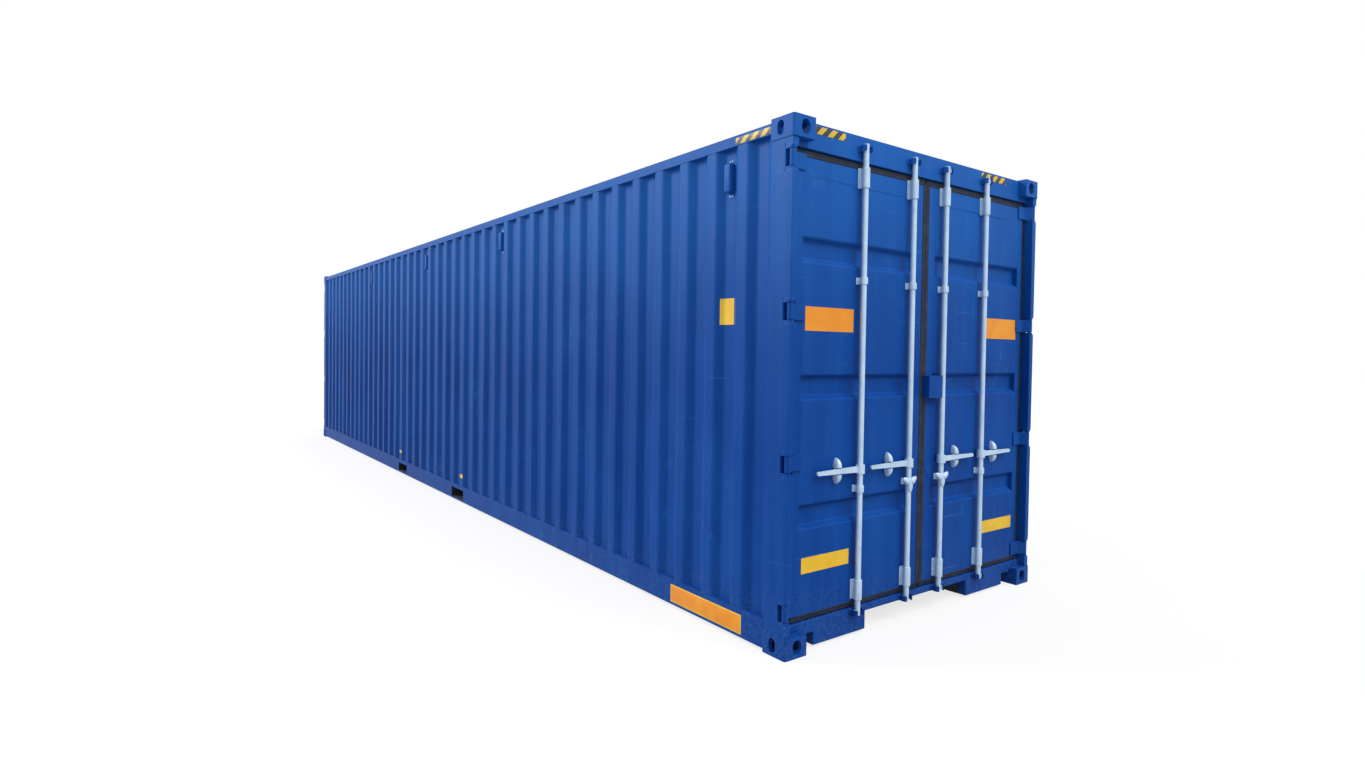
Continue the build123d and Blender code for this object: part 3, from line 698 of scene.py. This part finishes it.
# %% [markdown]
# The roof is a flat sheet with a row of pressed ribs, whose ends are rounded
# and closed. Its height comes from a distance: inside a rounded rectangle the
# distance to its edge grows inwards, and the rib rises with it along a soft
# step until it reaches its crest.

# %% Roof
rib_depth = 0.020
rib_slope = 0.0135
rib_half = np.array([0.059, 1.080])
rib_corner = 0.024
rib_crest = 0.091
rib_count = 56
roof_dent, roof_sink = 0.0012, 0.0013


def rib_rise(across, along):
    """Height of a rib: depth * soft step of (inward distance / slope).

    The signed distance to a rounded rectangle is the length of the part of
    the place outside its inner rectangle, plus the part inside, less the
    corner's radius. The soft step is t^2 (3 - 2t).
    """
    outside = np.stack([np.abs(across), np.abs(along)], axis=-1) - (rib_half - rib_corner)
    beyond, within = np.maximum(outside, 0), np.minimum(outside.max(axis=-1), 0)
    distance = np.linalg.norm(beyond, axis=-1) + within - rib_corner
    t = np.clip(-distance / rib_slope, 0, 1)
    return rib_depth * t * t * (3 - 2 * t)


roof_places = corner_points("roof")
roof_end, roof_side = roof_places[:, 0].max(), roof_places[:, 1].max()
roof_base = roof_places[:, 2].max() - rib_depth
rib_pitch = (2 * roof_end + rib_crest) / (rib_count + 1)
rib_middles = -roof_end - rib_crest / 2 + rib_pitch * (np.arange(rib_count) + 1)
slope_places = np.array([0.015, 0.045, 0.0485, 0.052, 0.0555, 0.059])
across = np.concatenate([-slope_places[::-1], slope_places])
x = np.concatenate([[-roof_end], (rib_middles[:, None] + across).ravel(), [roof_end]])
end_y = rib_half[1] - np.array([0.0, 0.003, 0.0065, 0.0105, 0.015, 0.021, 0.028])
y = np.concatenate([[roof_side], end_y, np.linspace(1.0, -1.0, 13), -end_y[::-1], [-roof_side]])[::-1]
x, y = np.meshgrid(x, y)
nearest = rib_middles[np.clip(np.rint((x - rib_middles[0]) / rib_pitch).astype(int), 0, rib_count - 1)]
free = np.cos(0.5 * pi * np.clip(y / roof_side, -1, 1))
sag = roof_dent * np.sin(0.9 * x + 1.0) * np.sin(2.3 * y) * free
z = roof_base + rib_rise(x - nearest, y) + sag - roof_sink * free
roof_skin = Form().add(np.stack([x, y, z], axis=-1))
thicken(roof_skin.piece("roof_pressed", paint_blue, home["roof"], slot_of["roof"], ["roof"], 60, False),
        sheet_thickness)
print("roof grid:", x.shape)

# %% [markdown]
# The solid posts are open where the hinge lugs stand. A block closes the post
# above and below each pair of lugs.

# %% Post blocks
post_places = corner_points("near_posts")
lug_places = corner_points("near_hinge_lugs", 1)
post_front, post_flank = post_places[:, 0].max(), post_places[:, 1].max()
lug_back = lug_places[:, 0].min()
block_setback, block_inset, block_corner, block_edge = 0.001, 0.022, 0.003, 0.001
block_depth, block_width, block_overlap = post_front - lug_back - block_setback, 0.043, 0.004
openings = np.unique(post_places[:, 2].round(4))[1:-1].reshape(-1, 2)
lug_ends = np.unique(lug_places[:, 2].round(4)).reshape(-1, 4)[:, [0, 3]]
blocks = Form()
for (open_low, open_high), (lug_low, lug_high) in zip(openings, lug_ends):
    for low, high in ((open_low - block_overlap, lug_low), (lug_high, open_high + block_overlap)):
        for end in (-1, 1):
            for side in (-1, 1):
                foot = (end * (lug_back + post_front) / 2, side * (post_flank - block_inset), low)
                block = plate(block_depth, block_width, high - low, block_corner, block_edge)
                blocks.add(laid(block, foot, (1, 0, 0), (0, 1, 0)), round_columns=True, ends=True)
blocks.piece("post_blocks", paint_blue, "container", "painted_steel")
print("blocks:", len(blocks.points))

# %% [markdown]
# The ventilators are small hoods, which are plates whose edges fall away in a
# wide curve.

# %% Ventilator hoods
hood_width, hood_corner, hood_edge = 0.060, 0.012, 0.011
vents = corner_points("ventilators")
vent_ends = vents[vents[:, 2] > vents[:, 2].max() - 0.001]
vent_places = np.unique(vent_ends[:, 0].round(3)).reshape(-1, 2).mean(axis=1)
vent_middle = (vents[:, 2].min() + vents[:, 2].max()) / 2
vent_back, vent_skin = np.abs(vents[:, 1]).min(), np.abs(vents[:, 1]).max()
hoods = Form()
for x in vent_places:
    for side in (-1, 1):
        hood = plate(hood_width, vents[:, 2].max() - vents[:, 2].min(), vent_skin - vent_back,
                     hood_corner, hood_edge)
        hoods.add(laid(hood, (x, side * vent_back, vent_middle), (-side, 0, 0), (0, 0, 1)),
                  round_columns=True, ends=True)
hoods.piece("ventilator_hoods", paint_blue, "container", slot_of["ventilators"], ["ventilators"])
print("hoods:", len(hoods.points))

# %% [markdown]
# The rubber of the doors lies a little way over the border of each leaf, as a
# lip, and in the middle the two lips all but meet. The fixed doors of the far
# end let no light past: their lips cover the whole gap.

# %% Rubber lips
lip_corner, lip_clearance, lip_overlap, lip_past_middle, frame_inset = 0.002, 0.0005, 0.002, 0.001, 0.0445
lip_thickness, lip_seam, lip_inner, lip_upper, lip_lower = 0.003, 0.0008, 0.012, 0.014, 0.008
for node, side, way in (("left_door_frame", -1, 1), ("right_door_frame", 1, 1),
                        ("far_door_frames", -1, -1), ("far_door_frames", 1, -1)):
    places = corner_points(node, side)
    face = way * (way * places[:, 0]).max()
    inner, outer = np.abs(places[:, 1]).min(), np.abs(places[:, 1]).max()
    low, high = places[:, 2].min(), places[:, 2].max()
    strips = [(lip_seam, inner + lip_inner, low, high), (inner, outer, high - lip_upper, high),
              (inner, outer, low, low + lip_lower)]
    if way < 0:
        reach = corner_points("near_header")[:, 2].min() - high - lip_clearance
        frame_edge = post_flank - frame_inset
        strips = [(-lip_past_middle, inner + lip_inner, low - reach, high + reach),
                  (inner, frame_edge, high - lip_upper, high + reach),
                  (inner, frame_edge, low - reach, low + lip_lower),
                  (outer - lip_overlap, frame_edge, low - reach, high + reach)]
    lips = Form()
    for y_low, y_high, z_low, z_high in strips:
        strip = plate(y_high - y_low, z_high - z_low, lip_thickness, lip_corner)
        centre = (face, side * (y_low + y_high) / 2, (z_low + z_high) / 2)
        lips.add(laid(strip, centre, (0, way, 0), (0, 0, 1)), round_columns=True, ends=True)
    lips.piece(corner_name(side, way) + "_lips", rubber, home[node], "gasket_rubber")
print("strips on a far door:", len(strips))

# %% [markdown]
# A threshold plate bridges the slot between the floor and each sill.

# %% Threshold plates
threshold_clearance, threshold_lap, threshold_lift = 0.0005, 0.013, 0.0003
threshold_trim, threshold_thickness, threshold_corner = 0.001, 0.009, 0.002
floor_places, sill_places = corner_points("floor"), corner_points("near_sill")
floor_end, sill_back, sill_top = floor_places[:, 0].max(), sill_places[:, 0].min(), sill_places[:, 2].max()
stop_edge = np.unique(np.abs(post_places[:, 1]).round(4))[0]
threshold_start, threshold_end = floor_end + threshold_clearance, sill_back + threshold_lap
thresholds = Form()
for end in (-1, 1):
    sheet = plate(threshold_end - threshold_start, 2 * stop_edge - threshold_trim, threshold_thickness,
                  threshold_corner, threshold_corner)
    foot = (end * (threshold_start + threshold_end) / 2, 0, sill_top + threshold_lift)
    thresholds.add(laid(sheet, foot, (1, 0, 0), (0, 1, 0)), round_columns=True, ends=True)
thresholds.piece("threshold_plates", paint_blue, "container", "painted_steel")
print("thresholds:", len(thresholds.points))

# %% [markdown]
# Plates and stickers follow the sheet that they are stuck on: a small grid of
# points on the sheet's own surface, a little proud of it. On a flat rail or
# header they are thin plates with a soft edge. All of them are left bare.

# %% Plates and stickers
foil_thickness = 0.0008


def stick(name, sheet, folded, plain, finish, body, layers=1):
    """A sticker between two folded and two plain places of a pressed sheet."""
    grid = sheet.points(np.linspace(*folded, 24), np.linspace(*plain, 16), foil_thickness * layers)
    sticker = Form().add(grid).piece(name, finish, body, None, (), 50, False)
    return thicken(sticker, foil_thickness)


def flat_sign(name, centre, width, height, across, upward, finish, layers=1, corner=0.004):
    """A thin plate that stands on the flat face through its centre."""
    points = laid(plate(width, height, foil_thickness * layers, corner), centre, across, upward)
    return Form().add(points, round_columns=True, ends=True).piece(name, finish, "container", None)


for half, level, heights, across, finish in (
        ("left", "upper", (1.763, 1.896), (-1.048, -0.656), foil_orange),
        ("right", "upper", (1.760, 1.900), (0.668, 1.070), foil_orange),
        ("left", "lower", (0.424, 0.512), (-1.046, -0.662), foil_yellow),
        ("right", "lower", (0.410, 0.495), (0.680, 1.066), foil_yellow)):
    sheet = panels[f"{half}_door_panel", -1 if half == "left" else 1]
    stick(f"{half}_door_{level}_sign", sheet, heights, across, finish, f"{half}_leaf")
for name, x_low, x_high, z_low, z_high in (("side_sign", 5.465, 5.580, 1.800, 1.954),
                                           ("near_pocket_sign", 1.095, 1.175, 0.266, 0.304),
                                           ("far_pocket_sign", -1.175, -1.095, 0.266, 0.304)):
    stick(name, walls[-1], (x_low, x_high), (z_low, z_high), foil_yellow, "container")

rail_face = np.abs(corner_points("bottom_rails")[:, 1]).max()
header_face = corner_points("near_header")[:, 0].max()
for side, along in ((-1, (1, 0, 0)), (1, (-1, 0, 0))):
    half = "left" if side < 0 else "right"
    rail_middle = (5.380, side * rail_face, 0.090)
    flat_sign(half + "_rail_sign_border", rail_middle, 0.700, 0.112, along, (0, 0, 1), foil_yellow)
    flat_sign(half + "_rail_sign", rail_middle, 0.684, 0.096, along, (0, 0, 1), foil_orange, 2)
    stripes_middle = (5.766, side * rail_face, 2.842)
    flat_sign(half + "_rail_stripes", stripes_middle, 0.300, 0.038, along, (0, 0, 1), hazard)
for name, y_low, y_high in (("left_header_stripes", -1.045, -0.762), ("right_header_stripes", 0.590, 0.885)):
    stripes_middle = (header_face, (y_low + y_high) / 2, 2.857)
    flat_sign(name, stripes_middle, y_high - y_low, 0.042, (0, 1, 0), (0, 0, 1), hazard)

# %% [markdown]
# Rivets and weld beads are small, but they tell the size of the whole. A rivet
# is a low dome, and all the rivets of one body are one piece. A weld bead is
# a half round whose radius ripples along its run, as the welder's hand did.

# %% Rivets and welds


def domes(places, outward, radius, rise, sides=12):
    """Low domes at places on a face: rings of radius cos(t) at height rise * sin(t)."""
    t = np.linspace(0, pi / 2, 4)[:-1]
    ring = lathe(np.stack([radius * np.cos(t), rise * np.sin(t)], axis=-1), sides)
    cap = np.broadcast_to((0.0, 0.0, rise), (1, sides, 3))
    across = np.roll(outward, 1)
    return [laid(np.concatenate([ring, cap]), place, across, np.cross(outward, across)) for place in places]


def bead(start, end, outward, radius):
    """A half round from start to end, of radius * (1 + 0.16 sin(ripple))."""
    start, end, outward = (np.array(value, float) for value in (start, end, outward))
    run = np.linalg.norm(end - start)
    along = (end - start) / run
    steps = max(8, int(run / 0.006))
    t = np.linspace(0, 1, steps)[:, None, None]
    angle = np.linspace(0, pi, 6)[None, :, None]
    thick = radius * (1 + 0.16 * np.sin(t * run / 0.0045)) * np.clip(12 * np.minimum(t, 1 - t) + 0.4, 0, 1)
    side = np.cross(along, outward)
    return start + t * (end - start) + thick * (np.cos(angle) * side + np.sin(angle) * outward * 0.7)


rivet_radius, rivet_rise = 0.0065, 0.004
rivet_pair, rivet_rows = np.array([-0.010, 0.010]), np.array([-0.100, 0.100])
rivets = Form()
for side in (-1, 1):
    x = (vent_places[:, None, None] + rivet_pair[:, None]).repeat(2, axis=2).ravel()
    z = np.tile(vent_middle + rivet_rows, len(x) // 2)
    places = np.stack([x, walls[side].height(x, z), z], axis=-1)
    for dome in domes(places, (0, side, 0), rivet_radius, rivet_rise):
        rivets.add(dome, round_columns=True)
rivets.piece("ventilator_rivets", zinc, "container", "galvanised_steel")

weld_radius, weld_lap, weld_inset = 0.0026, 0.003, 0.010
welds = Form()
casting_start = corner_points("near_bottom_castings")[:, 0].min()
for end in (-1, 1):
    for side in (-1, 1):
        for z in (post_places[:, 2].min(), post_places[:, 2].max()):
            start = (end * (casting_start + weld_lap), side * post_flank, z)
            stop = (end * (post_front - weld_inset), side * post_flank, z)
            welds.add(bead(start, stop, (0, side, 0), weld_radius), ends=True)
welds.piece("post_welds", paint_blue, "container", "painted_steel")
print("vent middles:", vent_places.round(3), "weld beads:", len(welds.points))

# %% [markdown]
# The solids that are not made again wear the plain finish of their material.

# %% Plain finishes
plain = {"painted_steel": paint_blue, "underside_steel": underbody, "galvanised_steel": zinc,
         "gasket_rubber": rubber, "floor_boards": plywood}
for node, piece in nodes.items():
    if not piece.hide_render:
        piece.data.materials.clear()
        piece.data.materials.append(plain[slot_of[node]].material)
print("solids shown as they are:", sum(not piece.hide_render for piece in nodes.values()))

# %% [markdown]
# The stage is a white floor under a white sky, as in a cut-out photograph. The
# camera sees the floor half as a lit surface, so that it takes the shadow, and
# half as plain white light. To the lamps' own light it is a dark floor, which
# throws little back on the container. The sky is full white to the camera and
# in reflections, and half as strong where it lights the object.

# %% Stage and sky
floor_mesh = bpy.data.meshes.new("stage_floor")
floor_reach = 60.0
floor_corners = np.array([(-1, -1), (1, -1), (1, 1), (-1, 1)]) * floor_reach
floor_mesh.from_pydata([(x, y, -0.0005) for x, y in floor_corners.tolist()], [], [(0, 1, 2, 3)])
stage_floor = bpy.data.objects.new("stage_floor", floor_mesh)
bpy.context.scene.collection.objects.link(stage_floor)

stage = bpy.data.materials.new("stage_white")
floor_tree = Tree(stage)
lit = floor_tree.field("ShaderNodeBsdfDiffuse", {}, {"Color": (0.9, 0.9, 0.9, 1.0)})
glow = floor_tree.field("ShaderNodeEmission", {}, {"Strength": 1.0})
pale = floor_tree.field("ShaderNodeMixShader", {}, {0: 0.75, 1: lit, 2: glow})
dark_floor = floor_tree.field("ShaderNodeBsdfDiffuse", {}, {"Color": (0.36, 0.36, 0.36, 1.0)})
floor_tree.output("ShaderNodeOutputMaterial", floor_tree.field(
    "ShaderNodeMixShader", {}, {0: floor_tree.rays(0.6), 1: dark_floor, 2: pale}))
floor_mesh.materials.append(stage)

world = bpy.data.worlds.new("white_sky")
bpy.context.scene.world = world
sky_strength = 0.66
sky_tree = Tree(world)
sky_light = sky_tree.rays(1.0) * (1.0 - sky_strength) + sky_strength
sky_tree.output("ShaderNodeOutputWorld", sky_tree.field(
    "ShaderNodeBackground", {}, {"Color": (1.0, 1.0, 1.0, 1.0), "Strength": sky_light}))

# %% [markdown]
# Two soft suns bring each shown side to the plain level at which a colour
# renders as it is written. One shines on the long side from beyond its middle,
# so the slopes that face the camera stay in shade. The other shines on the
# door end from the far side and above, so the ribs and rods stand out.

# %% Lamps


def sun(name, towards, strength, softness):
    """A sun that shines along a direction, with soft shadows."""
    light = bpy.data.lights.new(name, "SUN")
    light.energy = strength
    light.angle = radians(softness)
    lamp = bpy.data.objects.new(name, light)
    bpy.context.scene.collection.objects.link(lamp)
    direction = np.array(towards, float)
    direction = direction / np.linalg.norm(direction)
    side = np.cross(direction, (0.0, 0.0, 1.0))
    side = side / np.linalg.norm(side)
    turn = np.stack([side, np.cross(side, direction), -direction], axis=1)
    lamp.matrix_world = Matrix(turn.tolist()).to_4x4()


sun("sun_side", (0.75, 0.65, -0.5), 2.1, 24)
sun("sun_door", (-0.60, -0.12, -0.75), 2.1, 45)
bpy.context.scene.view_settings.view_transform = "Standard"
print("lamps:", [light.name for light in bpy.data.lights])
